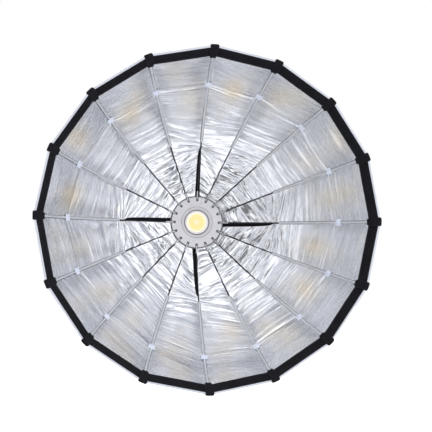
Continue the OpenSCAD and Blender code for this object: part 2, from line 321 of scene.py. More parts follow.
# %% Rod and gore profiles
RIBS, FOLD = 16, math.radians(44)
HALF = math.pi / RIBS
PIN_R, PIN_F = 0.071, 0.0204
TIP_R, TIP_F = 0.442, 0.364
BOW = 0.05
NECK_R, CLOTH_T, ROD_OFF = 0.0785, 0.0012, 0.0023
HEM_F, HEM_BACK_F = 0.3686, 0.3320
KEEPER_R, SLIT_END = 0.37, 0.2205
SLIT_RIBS = (0, 4, 8, 12)
root, tip = np.array([PIN_R, PIN_F]), np.array([TIP_R, TIP_F])
chord = np.linalg.norm(tip - root)
ROD_R = (chord ** 2 / 4 + BOW ** 2) / (2 * BOW)
ROD_C = (root + tip) / 2 + np.array([root[1] - tip[1], tip[0] - root[0]]) / chord * (ROD_R - BOW)
ROOT_A, TIP_A = (math.atan2(p[1] - ROD_C[1], p[0] - ROD_C[0]) for p in (root, tip))


def rod_angle(r):
    """The angle along the rod's arc at radius r from the dish axis."""
    return -np.arccos((r - ROD_C[0]) / ROD_R)


def beside_rod(angle, offset):
    """Distance from the axis and height of a point at an offset outside the rod's arc."""
    return ROD_C[0] + (ROD_R + offset) * np.cos(angle), ROD_C[1] + (ROD_R + offset) * np.sin(angle)


three = (ROOT_A, (ROOT_A + TIP_A) / 2, TIP_A)
on_gore = [np.array(beside_rod(a, ROD_OFF)) * [math.cos(HALF), 1] for a in three]
chords = np.array([2 * (on_gore[1] - on_gore[0]), 2 * (on_gore[2] - on_gore[1])])
GORE_C = np.linalg.solve(chords, [on_gore[k + 1] @ on_gore[k + 1] - on_gore[k] @ on_gore[k] for k in (0, 1)])
GORE_R = np.linalg.norm(on_gore[0] - GORE_C)
LIP_R = GORE_C[0] + math.sqrt((GORE_R + CLOTH_T) ** 2 - (HEM_F - GORE_C[1]) ** 2)
print(f"rod arc radius {ROD_R:.4f}, gore profile radius {GORE_R:.4f}, lip {LIP_R:.4f} m from the axis")

# %% Places on a gore


def gore_point(gore, across, apothem, forward):
    """Points of a gore, given the distance from the axis at its middle and the height."""
    middle = (np.asarray(gore) + 0.5) * 2 * HALF
    aside = (1 - 2 * across) * apothem * math.tan(HALF)
    x = apothem * np.sin(middle) - aside * np.cos(middle)
    z = apothem * np.cos(middle) + aside * np.sin(middle)
    return np.stack([x, -forward, z], -1)


def gore_beside(rib, side, clockwise=None):
    """The gore and the place across it of a place beside a rod, which is -1 or 1 in the middle of a gore."""
    clockwise = side > 0 if clockwise is None else clockwise
    return np.where(clockwise, rib, (rib - 1) % RIBS), np.where(clockwise, side / 2, 1 + side / 2)


def profile(angle, lift=0.0):
    """Distance from the axis and height at an angle along the gore's profile, lifted towards the inside."""
    return GORE_C[0] + (GORE_R - lift) * np.cos(angle), GORE_C[1] + (GORE_R - lift) * np.sin(angle)


def gore_angle(r):
    """The profile angle at which the cloth meets a rod at radius r."""
    return -np.arccos((r * math.cos(HALF) - GORE_C[0]) / GORE_R)


NECK_ANGLE = gore_angle(NECK_R)
EDGE_ANGLE, HEM_ANGLE = (math.asin((f - GORE_C[1]) / GORE_R) for f in (HEM_F - CLOTH_T, HEM_BACK_F))


def length_to(angle):
    """The distance along a gore from the neck to a profile angle."""
    return GORE_R * (angle - NECK_ANGLE)


def gore_width(along):
    """The width of a gore at a distance along it from the neck."""
    return 2 * math.tan(HALF) * (GORE_C[0] + GORE_R * np.cos(NECK_ANGLE + along / GORE_R))


CLOTH_L = length_to(EDGE_ANGLE)
KEEPER_L, SLIT_TIP_L = (length_to(gore_angle(r)) for r in (KEEPER_R, SLIT_END))
print(f"a gore is {CLOTH_L:.3f} m long and {2 * LIP_R * math.tan(HALF):.3f} m wide at the rim")

# %% [markdown]
# ## How the foil creases
#
# The silver lining is thin coated cloth that has been folded round the rods many times. It is pulled tight
# from rod to rod, so straight pull lines run across each gore, a little askew, and they draw together at
# the keepers and at the ends of the slits. A cloth simulation would smooth most of this away, so the
# creases are written as a height over the gore. First every point gets the number of the pull line it lies
# on. The deeper creases are then low tents along chosen numbers, the crumpled part near the hub is a set of
# folds across them, and the finest ones are left to the finish, which reads the same numbers.

# %% Smooth noise
CELLS = 64
dice = np.random.default_rng(21)
TABLE = dice.random((CELLS, CELLS))


def smooth_noise(x, y):
    """Noise between -1 and 1 that changes over one unit of x or y."""
    x, y = np.broadcast_arrays(x, y)
    i, j = np.floor(x).astype(int), np.floor(y).astype(int)
    u, v = x - i, y - j
    u, v = u * u * (3 - 2 * u), v * v * (3 - 2 * v)
    a, b = TABLE[i % CELLS, j % CELLS], TABLE[(i + 1) % CELLS, j % CELLS]
    c, d = TABLE[i % CELLS, (j + 1) % CELLS], TABLE[(i + 1) % CELLS, (j + 1) % CELLS]
    return 2 * (a + (b - a) * u + (c - a) * v + (a - b - c + d) * u * v) - 1


# %% Pull lines
BEYOND = 0.12
PLACES = np.linspace(-BEYOND, CLOTH_L + BEYOND, 260)
KEEPER_HOLD, SLIT_HOLD = (KEEPER_L, 0.75, 0.040), (SLIT_TIP_L, 0.94, 0.095)
UNEVEN, UNEVEN_L = 0.005, 0.035
HALVINGS = 22


def rod_places(gore, rod, lean):
    """Where the pull lines, numbered by their place in the middle of the gore, meet one of its two rods."""
    rib = (gore + rod) % RIBS
    places = PLACES + (rod - 0.5) * lean * gore_width(np.clip(PLACES, 0, CLOTH_L))
    places = places + UNEVEN * smooth_noise(PLACES / UNEVEN_L + 9 * rib, 3 * rod)
    for middle, hold, span in [KEEPER_HOLD] + [SLIT_HOLD] * (rib in SLIT_RIBS):
        places = places - hold * (places - middle) * np.exp(-((places - middle) / span) ** 2)
    return np.maximum.accumulate(places + 1e-4 * PLACES)


def pull_number(gore, across, along):
    """The number of the pull line through each point, found by halving."""
    low, high = np.full(along.shape, PLACES[0]), np.full(along.shape, PLACES[-1])
    for _ in range(HALVINGS):
        middle = (low + high) / 2
        left, right = (np.interp(middle, PLACES, places) for places in rod_ends[gore])
        past = left + (right - left) * across > along
        low, high = np.where(past, low, middle), np.where(past, middle, high)
    return (low + high) / 2


# %% Deeper creases
DEEP_PULLS, FAN_PULLS, FAN_TALLER = 70, 12, 1.5


def draw_pulls(gore):
    """A gore's deeper creases: number, half width, height, and where across it they show and how far."""
    at_slit = [rod for rod in (0, 1) if (gore + rod) % RIBS in SLIT_RIBS]
    fan = SLIT_TIP_L + dice.uniform(-0.075, 0.045, FAN_PULLS * len(at_slit))
    spread = (np.arange(DEEP_PULLS) + dice.uniform(-0.2, 1.2, DEEP_PULLS)) / DEEP_PULLS
    number = np.concatenate([CLOTH_L * (0.02 + 0.87 * np.clip(spread, 0, 1)) ** 1.15, fan])
    out = number / CLOTH_L
    width = np.interp(out, [0, 0.4, 1], [0.0017, 0.0025, 0.0040]) * dice.uniform(0.6, 1.5, len(out))
    steep = np.interp(out, [0, 0.2, 0.45, 0.62, 0.8, 1], [0.34, 0.29, 0.26, 0.23, 0.16, 0.08])
    tall = width * steep * dice.uniform(0.35, 1.2, len(out)) * dice.choice([1, 1, -1], len(out))
    middle, reach = dice.uniform(0.0, 1.0, len(out)), dice.uniform(0.3, 0.9, len(out))
    if at_slit:
        middle[DEEP_PULLS:], reach[DEEP_PULLS:] = at_slit[0], dice.uniform(0.35, 0.7, len(fan))
        tall[DEEP_PULLS:] *= FAN_TALLER
    return np.column_stack([number, width, tall, middle, reach])


def draw_folds(count=7):
    """A gore's folds near the hub: turn, wave length and phase."""
    turn, wave = dice.normal(0, 0.22, count), dice.uniform(0.014, 0.055, count)
    return np.column_stack([turn, wave, dice.random(count)])


leans = dice.uniform(-0.34, 0.34, RIBS)
rod_ends = [[rod_places(gore, rod, leans[gore]) for rod in (0, 1)] for gore in range(RIBS)]
pulls = [draw_pulls(gore) for gore in range(RIBS)]
folds = [draw_folds() for _ in range(RIBS)]
print(sum(len(lines) for lines in pulls), "pull lines")

# %% Crease height
SADDLE, BILLOW, BILLOW_L = 0.0030, 0.0022, 0.06
TENT_REACH, TENT_ROUNDING, FOLD_WAVER = 7, 0.12, 0.12
HELD_BY_ROD, FLAT_FROM, FLAT_OVER, NECK_OVER = 0.006, 0.925, 0.06, 0.03


def gore_creases(gore, across, along):
    """How far the lining of one gore stands in from its plain shape, in metres."""
    wide = gore_width(along)
    x = (across - 0.5) * wide
    out, seed = np.clip(along / CLOTH_L, 0, 1), 7.3 * (gore + 1)
    number = pull_number(gore, across, along)
    total = SADDLE * np.interp(out, [0, 0.2, 0.6, 1], [0.1, 0.4, 1.0, 0.8]) * 4 * across * (1 - across)
    slack = np.interp(out, [0, 0.25, 0.6, 1], [0.2, 0.6, 1.0, 0.8])
    total = total + BILLOW * slack * smooth_noise(number / BILLOW_L + seed, across * 1.7 - seed)
    for line, width, tall, middle, reach in pulls[gore]:
        away = (number - line) / width
        near = np.abs(away) < TENT_REACH
        tent = tall * np.exp(-np.sqrt(away[near] ** 2 + TENT_ROUNDING))
        total[near] += tent * np.exp(-((across[near] - middle) / reach) ** 2)
    crumpled, waver = np.zeros_like(total), FOLD_WAVER * smooth_noise(x / 0.05 + seed, along / 0.03)
    for turn, wave, phase in folds[gore]:
        step = (x * math.sin(turn) + number * math.cos(turn)) / wave + phase + waver
        crumpled = crumpled + wave * (np.abs(step % 1 - 0.5) - 0.25)
    crumpled = crumpled * (0.6 + 0.6 * smooth_noise(x / 0.035 - seed, along / 0.04))
    depth = np.interp(out, [0, 0.05, 0.2, 0.36, 0.6, 1], [0.04, 0.10, 0.085, 0.04, 0.010, 0.004])
    total = total + depth * crumpled
    off_rod = 1 - np.exp(-np.minimum(across, 1 - across) * wide / HELD_BY_ROD)
    before_hem, past_neck = np.clip((FLAT_FROM - out) / FLAT_OVER, 0, 1), np.clip(out / NECK_OVER, 0, 1)
    return total * off_rod * before_hem * past_neck


def crease_height(gore, across, along):
    """The same for points of several gores."""
    gore, across, along = np.broadcast_arrays(gore, across, along)
    total = np.zeros(across.shape)
    for one in np.unique(gore):
        total[gore == one] = gore_creases(one, across[gore == one], along[gore == one])
    return total


# %% Cloth surface


def lining_point(gore, across, angle):
    """Points on the creased lining."""
    return gore_point(gore, across, *profile(angle, crease_height(gore, across, length_to(angle))))


def lining_normal(gore, across, angle):
    """The lining's normals, pointing into the dish."""
    beside, further = 1e-3, 6e-4
    across = np.clip(across, 2 * beside, 1 - 2 * beside)
    sideways = lining_point(gore, across + beside, angle) - lining_point(gore, across - beside, angle)
    outward = lining_point(gore, across, angle + further) - lining_point(gore, across, angle - further)
    normal = np.cross(sideways, outward)
    return normal / np.linalg.norm(normal, axis=-1, keepdims=True)


sample = crease_height(3, np.full(400, 0.5), np.linspace(0, CLOTH_L, 400)) * 1000
print(f"creases down the middle of a gore: {sample.min():.2f} to {sample.max():.2f} mm")

# %% [markdown]
# ## Cloth finishes
#
# The lining is a metal-coated foil, so it is a metal shader with a soft gloss. Crinkles too fine to model
# are a bump that is drawn out along the pull lines: a second UV map holds each point's place across its
# gore and the number of its line. The faint straw-coloured patches further out are painted reflections:
# light that has bounced between coated surfaces, painted into the foil's colour. The outside is plain black
# nylon with a visible weave, and the hem and the pockets are a heavier black cloth. Their pattern follows
# the cloth's own UV map, which holds metres across and along, so it bends with it.

# %% Silver lining


def cloth_places(tree):
    """The cloth's own UV map, and its two parts, metres across and along."""
    uv = add_node(tree, "ShaderNodeUVMap", uv_map="cloth").outputs[0]
    parts = add_node(tree, "ShaderNodeSeparateXYZ", {0: uv}).outputs
    return uv, parts[0], parts[1]


silver_lining, tree, foil = new_finish("silver_lining", Metallic=1.0)
from_neck = cloth_places(tree)[2]
pull_uv = add_node(tree, "ShaderNodeUVMap", uv_map="pulls").outputs[0]
drawn = add_node(tree, "ShaderNodeMapping", {"Vector": pull_uv, "Scale": (5, 120, 1)}).outputs[0]
fine, broad = grain_in(tree, drawn, 2.4, 1.0)
# The foil's colour is streaked darker and lighter along the pull lines: painted shade of its finest creases.
crease_shaded_silver = between(tree, ranged(tree, broad, 0.0, 1.0, 0.32, 0.68), (0.735, 0.75, 0.80), (0.862, 0.878, 0.91))
# Painted reflection: soft straw-coloured patches of bounced light, stored on the cloth, are put into the
# foil's colour.
warm = add_node(tree, "ShaderNodeAttribute", attribute_name="warm").outputs["Fac"]
satin = ranged(tree, from_neck, 0.12, 0.24, 0.08, 0.36)
gloss = maths(tree, "ADD", satin, ranged(tree, fine, -0.04, 0.07, 0.3, 0.7))
wire(tree, foil, Base_Color=between(tree, warm, crease_shaded_silver, (0.825, 0.755, 0.64)), Roughness=gloss)
slack = ranged(tree, grain_in(tree, pull_uv, 30.0, 13.0)[1], 0.15, 1.15, 0.40, 0.62)
drawn_tight = maths(tree, "MULTIPLY", ranged(tree, from_neck, 1.0, 0.50, 0.12, 0.36), slack, clamp=True)
from_crease = maths(tree, "ABSOLUTE", maths(tree, "SUBTRACT", broad, 0.5))
grooves = maths(tree, "MULTIPLY", maths(tree, "MINIMUM", from_crease, 0.055), 3.2)
fine_grain = maths(tree, "MULTIPLY", fine, ranged(tree, from_neck, 0.24, 0.04, 0.08, 0.30))
bumped(tree, foil, maths(tree, "ADD", grooves, fine_grain), drawn_tight, 0.0016)

# %% Black cloths


def woven(name, threads, skew, grains, spread, colours, seam, rough, relief, bump, **values):
    """A woven cloth with a row of stitches; the colours are its darker and lighter parts and the stitches."""
    made, tree, shader = new_finish(name, **values)
    uv, across, along = cloth_places(tree)
    fine, broad = grain_in(tree, uv, *grains)
    skewed = add_node(tree, "ShaderNodeMapping", {"Vector": uv, "Rotation": (0, 0, skew)}).outputs[0]
    height = group_in(tree, weave, {"Vector": skewed, "Threads": threads})["Height"]
    stitched = group_in(tree, stitches, {"Along": along, "Across": across, **seam})["Mask"]
    cloth = between(tree, ranged(tree, broad, 0.0, 1.0, *spread), *colours[:2])
    cloth = between(tree, stitched, cloth, colours[2])
    wire(tree, shader, Base_Color=cloth, Roughness=ranged(tree, fine, *rough))
    bumped(tree, shader, maths(tree, "ADD", maths(tree, "MULTIPLY", height, relief), stitched), *bump)
    return made


nylon = (0.009, 0.009, 0.011), (0.019, 0.019, 0.022), (0.045, 0.045, 0.05)
heavy = (0.0055, 0.0055, 0.0075), (0.010, 0.010, 0.013), (0.020, 0.020, 0.024)
hem_seam, pocket_seam = {"Line": 0.0146}, {"Line": 0.0098, "Pitch": 0.0042, "Width": 0.0005}
black_shell = woven(
    "black_shell", threads=5200.0, skew=0.0, grains=(120.0, 18.0), spread=(0.35, 0.7), colours=nylon,
    seam={}, rough=(0.5, 0.7), relief=0.3, bump=(0.5, 0.0005), Specular_IOR_Level=0.3)
hem_cloth = woven(
    "hem_cloth", threads=3600.0, skew=0.6, grains=(160.0, 22.0), spread=(0.35, 0.7), colours=heavy,
    seam=hem_seam, rough=(0.65, 0.85), relief=0.4, bump=(0.6, 0.0004), Specular_IOR_Level=0.12)
pocket_cloth = woven(
    "pocket_cloth", threads=3200.0, skew=0.0, grains=(180.0, 40.0), spread=(0.0, 1.0), colours=heavy,
    seam=pocket_seam, rough=(0.62, 0.82), relief=0.45, bump=(0.6, 0.0005), Specular_IOR_Level=0.12)
print("cloth finishes:", [f.name for f in (silver_lining, black_shell, hem_cloth, pocket_cloth)])

# %% [markdown]
# ## Canopy
#
# The canopy is one cloth, but its folds have to follow the rods. Each rod carries the cloth up to the
# middle of the gore on either side, as the hinged CAD parts do, and that cloth is cut into bands along the
# rod. For each band the script works out and prints the share of its width it would have to keep when the
# rods fold in, about as much as the space between the rods narrows there, so that neighbours still meet. At
# rest the cuts can't be seen, because neighbours share their edge points and their shading normals. Each
# band starts as a flat grid whose points are moved onto the creased gore, and Solidify then gives it the
# black outside.

# %% Bands
band_radii = [NECK_R, 0.095, 0.118, 0.143, 0.170, 0.198, 0.227, 0.257, 0.288, 0.319, 0.349, 0.377, 0.403]
band_radii.append(profile(HEM_ANGLE)[0] / math.cos(HALF))
band_angles = [gore_angle(r) for r in band_radii] + [EDGE_ANGLE]


def folded_share(apothem, forward):
    """The share of its width that a band keeps when folded, so that it still meets its neighbours."""
    x = apothem * math.cos(HALF)
    return (PIN_R + (x - PIN_R) * math.cos(FOLD) - (forward - PIN_F) * math.sin(FOLD)) / x


band_keeps = [min(0.999, folded_share(*profile(a))) for a in band_angles[:-1]]
print("width kept when folded:", [round(k, 2) for k in band_keeps])

# %% Slits
SLIT_STOPS, SLIT_CLOSES = [0.0755, 0.165, 0.2, 0.211, SLIT_END], 0.012
TOP_SLIT = [-0.0065, -0.0075, -0.0070, -0.0050, -0.0012], [0.0075, 0.0045, 0.0030, 0.0015, -0.0012]
OTHER_SLIT = [-0.0025, -0.0018, -0.0010, -0.0005, 0.0010], [0.0122, 0.0105, 0.0088, 0.0070, 0.0010]


def slit_edges(rib, r, grow=0.0):
    """The two sides of the slit beside a rod at radius r, in metres clockwise from the rod."""
    past = np.clip(1 - (r - SLIT_END) / SLIT_CLOSES, 0, 1)
    left, right = (np.interp(r, SLIT_STOPS, edge) * past for edge in (TOP_SLIT if rib == 0 else OTHER_SLIT))
    return left - grow, right + grow


# %% Grids and their points


def new_grid(name, across, along):
    """A fresh flat grid and its two coordinates from 0 to 1."""
    bpy.ops.object.select_all(action="DESELECT")
    bpy.ops.mesh.primitive_grid_add(x_subdivisions=across, y_subdivisions=along, size=1)
    piece = bpy.context.object
    piece.name = piece.data.name = name
    flat = np.empty(len(piece.data.vertices) * 3, np.float32)
    piece.data.vertices.foreach_get("co", flat)
    flat = flat.reshape(-1, 3) + 0.5
    return piece, flat[:, 0].astype(float), flat[:, 1].astype(float)


def store(piece, name, values):
    """Keeps a number at each point of a piece, which modifiers carry along."""
    kept = piece.data.attributes.new(name, "FLOAT", "POINT").data
    kept.foreach_set("value", np.asarray(values, np.float32))


def stored(piece, name):
    """Reads such numbers back."""
    values = np.empty(len(piece.data.vertices), np.float32)
    piece.data.attributes[name].data.foreach_get("value", values)
    return values.astype(float)


def move_points(piece, points):
    """Puts a piece's points where they belong."""
    piece.data.vertices.foreach_set("co", np.asarray(points, np.float32).ravel())
    piece.data.update()


def edit_faces(piece, picked):
    """Goes into edit mode with only the picked faces selected."""
    mesh = piece.data
    bpy.context.view_layer.objects.active = piece
    for part in (mesh.vertices, mesh.edges):
        part.foreach_set("select", np.zeros(len(part), bool))
    mesh.polygons.foreach_set("select", picked)
    bpy.context.tool_settings.mesh_select_mode = (False, False, True)
    bpy.ops.object.mode_set(mode="EDIT")


def thicken(piece, thick, layers=True):
    """Solidify, applied: with layers, the back and the rim take the next two material slots."""
    wall = piece.modifiers.new("wall", "SOLIDIFY")
    wall.thickness, wall.offset, wall.use_even_offset = thick, -1.0, False
    if layers:
        wall.material_offset, wall.material_offset_rim = 1, 2
    bpy.context.view_layer.objects.active = piece
    bpy.ops.object.modifier_apply(modifier=wall.name)


# %% Maps of the cloth
DRAWN_OUT, GORE_SHIFT = 0.28, 0.37


def set_cloth_uv(piece, across, along):
    """The cloth's own map, in metres."""
    layer = piece.data.uv_layers[0]
    layer.name = "cloth"
    corner = np.empty(len(piece.data.loops), np.int32)
    piece.data.loops.foreach_get("vertex_index", corner)
    layer.data.foreach_set("uv", np.stack([across[corner], along[corner]], -1).astype(np.float32).ravel())


def set_pull_uv(piece, clockwise, rib, side, angle):
    """A second map for faces beside a rod: place across the gore, and number of the pull line."""
    gore, across = gore_beside(rib, side, clockwise)
    along = length_to(angle)
    number = np.empty(len(along))
    for one in np.unique(gore):
        here = gore == one
        number[here] = pull_number(one, across[here], along[here])
    stretched = number * (1 - DRAWN_OUT * number / CLOTH_L)
    places = np.stack([(across - 0.5) * gore_width(along) + GORE_SHIFT * gore, stretched], -1)
    piece.data.uv_layers.new(name="pulls").data.foreach_set("uv", places.astype(np.float32).ravel())


# %% Shading normals


def share_normals(piece, rib):
    """Gives lining and shell the normals of the whole creased gore, so that cuts between bands don't show."""
    mesh = piece.data
    half = len(mesh.vertices) // 2
    side, angle = stored(piece, "side")[:half], stored(piece, "angle")[:half]
    facing = []
    for clockwise in (0, 1):
        fits = side * (2 * clockwise - 1) >= -1e-6
        normals = np.zeros((half, 3))
        across = np.clip(side[fits] / 2 + 1 - clockwise, 0, 1)
        normals[fits] = lining_normal((rib - 1 + clockwise) % RIBS, across, angle[fits])
        facing.append(np.tile(normals, (2, 1)))
    faces = len(mesh.polygons)
    corner, first, count, layer = (np.empty(n, np.int32) for n in (len(mesh.loops), faces, faces, faces))
    plain = np.empty(faces * 3, np.float32)
    mesh.loops.foreach_get("vertex_index", corner)
    read = {"loop_start": first, "loop_total": count, "material_index": layer, "normal": plain}
    for name, values in read.items():
        mesh.polygons.foreach_get(name, values)
    clockwise = np.repeat(np.add.reduceat(np.tile(side, 2)[corner], first) > 0, count)
    normal = np.where(clockwise[:, None], facing[1][corner], facing[0][corner])
    layer, plain = np.repeat(layer, count)[:, None], np.repeat(plain.reshape(-1, 3), count, axis=0)
    normal = np.where(layer == 0, normal, np.where(layer == 1, -normal, plain))
    mesh.polygons.foreach_set("use_smooth", np.ones(faces, bool))
    mesh.normals_split_custom_set(normal.tolist())
    set_pull_uv(piece, clockwise, rib, np.tile(side, 2)[corner], np.tile(angle, 2)[corner])


# %% Painted warm reflections
PATCH_ACROSS, PATCH_ALONG, PAINTED_BOUNCE = 0.032, 0.042, 0.6


def draw_patch():
    """A patch's place across, its place along and its strength."""
    return dice.uniform(0.25, 0.75), dice.uniform(0.56, 0.92), dice.uniform(0.5, 1.0)


patches = [[draw_patch() for _ in range(3)] for _ in range(RIBS)]


def painted_bounce_at(gore, across, along):
    """How much painted reflection warms the foil's colour: three soft patches in the outer half of each gore.
    """
    total = np.zeros(across.shape)
    for one in np.unique(gore):
        here = gore == one
        for middle, out, strength in patches[one]:
            away = ((across[here] - middle) * gore_width(along[here]) / PATCH_ACROSS) ** 2
            away = away + ((along[here] - out * CLOTH_L) / PATCH_ALONG) ** 2
            total[here] += PAINTED_BOUNCE * strength * np.exp(-away)
    return np.clip(total, 0, 1)


# %% Make one band
HALF_COLUMNS, FINE_ROW, COARSE_ROW, FINE_TO_R = 20, 0.0011, 0.0022, 0.25


def cloth_band(rib, k):
    """The k-th band of cloth on a rod, from the middle of one gore to the middle of the next."""
    low, high = band_angles[k], band_angles[k + 1]
    has_slit = rib in SLIT_RIBS and band_radii[k] < SLIT_END
    row = FINE_ROW if band_radii[k] < FINE_TO_R else COARSE_ROW
    columns, rows = 2 * HALF_COLUMNS + has_slit, max(8, round(GORE_R * (high - low) / row))
    piece, u, v = new_grid(f"canopy_{rib + 1:02d}_{k + 1}", columns, rows)
    side = 2 * u - 1
    if has_slit:
        apothem = profile(low + v * (high - low))[0]
        near, far = (c / (apothem * math.sin(HALF)) for c in slit_edges(rib, apothem / math.cos(HALF)))
        column = np.round(u * columns)
        left = -1 + column / HALF_COLUMNS * (near + 1)
        right = far + (column - HALF_COLUMNS - 1) / HALF_COLUMNS * (1 - far)
        side = np.where(column <= HALF_COLUMNS, left, right)
    start = np.full(len(u), low)
    if k == 0:
        on_neck = NECK_R / np.hypot(1, (1 - np.abs(side)) * math.tan(HALF))
        start = -np.arccos((on_neck - GORE_C[0]) / GORE_R)
    angle = start + v * (high - start)
    gore, across = gore_beside(rib, side)
    move_points(piece, lining_point(gore, across, angle))
    store(piece, "side", side)
    store(piece, "angle", angle)
    store(piece, "warm", painted_bounce_at(gore, across, length_to(angle)))
    if has_slit:
        open_slit(piece, np.abs(column - HALF_COLUMNS - 0.5) < 1, far - near)
    for finish in (silver_lining, black_shell, black_shell):
        piece.data.materials.append(finish)
    thicken(piece, CLOTH_T)
    share_normals(piece, rib)
    angle = stored(piece, "angle")
    set_cloth_uv(piece, stored(piece, "side") * profile(angle)[0] * math.sin(HALF), length_to(angle))
    return piece


def open_slit(piece, middle, width):
    """Cuts the middle column of faces out where the slit is open, and closes the cloth beyond its end."""
    is_open = middle & (width > 1e-6)
    corners = [list(p.vertices) for p in piece.data.polygons]
    edit_faces(piece, [bool(middle[c].all() and is_open[c].any()) for c in corners])
    bpy.ops.mesh.delete(type="FACE")
    bpy.context.tool_settings.mesh_select_mode = (True, False, False)
    bpy.ops.mesh.select_all(action="SELECT")
    bpy.ops.mesh.remove_doubles(threshold=1e-6)
    bpy.ops.object.mode_set(mode="OBJECT")


# %% Make the canopy
canopy = {}
for rib in range(RIBS):
    for k in range(len(band_keeps)):
        canopy[rib, k] = cloth_band(rib, k)
print(len(canopy), "bands,", sum(len(p.data.polygons) for p in canopy.values()), "faces")

# %% [markdown]
# ## Sewn trim at one rod
#
# The same set of sewn pieces sits on every rod: a silver tape that sleeves the outer half of the rod, a
# clear plastic keeper, a length of black hem on either side of the tip with the pale binding of the cloth's
# edge in front of it, and the corner pocket that takes the tip. Each is modelled once at the top rod, where
# clockwise is +X, outward is +Z and forward is -Y, and turned round the axis for the others, so all sixteen
# are alike as sewn parts are. One grey elastic band holds the cloth's neck to the hub, behind the roots.

# %% Sewing helpers


def sew(piece, points, across, along, finish, thick, smooth, rounds=0):
    """Makes cloth of a grid: points in place, a wall, a softer form if asked for, its map, smooth shading."""
    move_points(piece, points)
    store(piece, "across", across)
    store(piece, "along", along)
    piece.data.materials.append(finish)
    thicken(piece, thick, layers=False)
    if rounds:
        rounder = piece.modifiers.new("soft form", "SUBSURF")
        rounder.levels = rounder.render_levels = rounds
        bpy.ops.object.modifier_apply(modifier=rounder.name)
    set_cloth_uv(piece, stored(piece, "across"), stored(piece, "along"))
    bpy.ops.object.shade_smooth_by_angle(angle=math.radians(smooth))
    print(piece.name, len(piece.data.polygons), "faces")
    return piece


def lengths_along(path):
    """The distance of each point of a path from its start."""
    return np.concatenate([[0], np.cumsum(np.linalg.norm(np.diff(path, axis=0), axis=1))])


# %% Hem
HEM_W = GORE_R * (EDGE_ANGLE - HEM_ANGLE)
HEM_LIFT, EDGE_DROP, EDGE_W = 0.0017, 0.0007, 0.0018
SEAM_IN, SEAM_W, SEAM_DIP = 0.0032, 0.0008, 0.0003
PUCKER, PUCKER_W, PUCKER_TURNS, RIPPLE = 0.00014, 0.0022, 780, 0.0002
ROD_LIFT, ROD_SPREAD = 0.0029, 0.0042
hem, u, v = new_grid("hem_01", 92, 22)
side, edge, angle = 2 * u - 1, np.minimum(v, 1 - v) * HEM_W, HEM_ANGLE + v * (EDGE_ANGLE - HEM_ANGLE)
along = side * profile(angle)[0] * math.tan(HALF)
seam_line, by_seam = (np.exp(-((edge - SEAM_IN) / wide) ** 2) for wide in (SEAM_W, PUCKER_W))
pucker = np.sin(along * PUCKER_TURNS + 2 * smooth_noise(along * 60, v * 3)) * by_seam
lift = HEM_LIFT - EDGE_DROP * np.clip(1 - edge / EDGE_W, 0, 1) ** 2 - SEAM_DIP * seam_line
lift = lift + PUCKER * pucker + RIPPLE * smooth_noise(along * 45 + 9, v * 2.5)
over_rod = ROD_LIFT * np.exp(-(along / ROD_SPREAD) ** 2)
points = gore_point(*gore_beside(0, side), *profile(angle, lift + over_rod))
sew(hem, points, (v - 0.5) * HEM_W, along, hem_cloth, thick=0.0010, smooth=40)

# %% Pale binding finish
BINDING_INSIDE_W = 0.0071
pale_binding, tree, tape = new_finish("pale_binding", Sheen_Weight=0.2)
uv, across, along = cloth_places(tree)
fine, broad = grain_in(tree, uv, 150.0, 20.0)
outside = maths(tree, "GREATER_THAN", across, BINDING_INSIDE_W)
pale_tape = between(tree, broad, (0.46, 0.48, 0.54), (0.60, 0.62, 0.68))
two_tone = between(tree, outside, pale_tape, (0.02, 0.02, 0.024))
wire(tree, tape, Base_Color=two_tone, Roughness=ranged(tree, fine, 0.45, 0.65))
bumped(tree, tape, group_in(tree, weave, {"Vector": uv, "Threads": 4200.0})["Height"], 0.35, 0.0003)

# %% Pale binding
OUTSIDE, BINDING_WAVER = -CLOTH_T - 0.0007, 0.00012
outer = [profile(EDGE_ANGLE - d / GORE_R, OUTSIDE) for d in (0.004, 0.002, 0.0004)]
front = [
    (0.0002, 0.3680), (-0.0003, 0.3685), (-0.0011, 0.3688), (-0.0044, 0.3688), (-0.0050, 0.3685),
    (-0.0051, 0.3678), (-0.0046, 0.3672),
]
path = np.array(outer + [(LIP_R + x, f) for x, f in front])[::-1]
binding, u, v = new_grid("binding_01", 60, len(path) - 1)
side, step = 2 * u - 1, np.round(v * (len(path) - 1)).astype(int)
apothem = path[step, 0] + BINDING_WAVER * smooth_noise(side * 21, step * 0.7)
points = gore_point(*gore_beside(0, side), apothem, path[step, 1])
along = side * apothem * math.tan(HALF)
sew(binding, points, lengths_along(path)[step], along, pale_binding, thick=0.0006, smooth=50)

# %% Silver sleeve tape
sleeve_tape, tree, ribbon = new_finish("sleeve_tape", Metallic=0.9)
uv, across, along = cloth_places(tree)
fine, broad = grain_in(tree, uv, 420.0, 45.0)
row = {"Along": along, "Across": across, "Line": 0.0034, "Pitch": 0.0040, "Width": 0.00045}
stitched = group_in(tree, stitches, row)["Mask"]
# Painted shade: a thin dark line along each edge of the tape, stronger on the side of negative across, stands
# in for the shade where the tape meets the foil; the stitches are the tape's own thread.
left_edge_shade = ranged(tree, across, 0.85, 0.0, -0.0038, -0.0032)
right_edge_shade = ranged(tree, across, 0.0, 0.35, 0.0036, 0.0042)
stitches_and_edge_shade = maths(tree, "MAXIMUM", stitched, maths(tree, "ADD", left_edge_shade, right_edge_shade))
silver = between(tree, broad, (0.78, 0.79, 0.82), (0.90, 0.91, 0.93))
lined = between(tree, stitches_and_edge_shade, silver, (0.17, 0.175, 0.20))
wire(tree, ribbon, Base_Color=lined, Roughness=ranged(tree, fine, 0.28, 0.46))
bumped(tree, ribbon, maths(tree, "SUBTRACT", fine, stitched), 0.45, 0.0005)

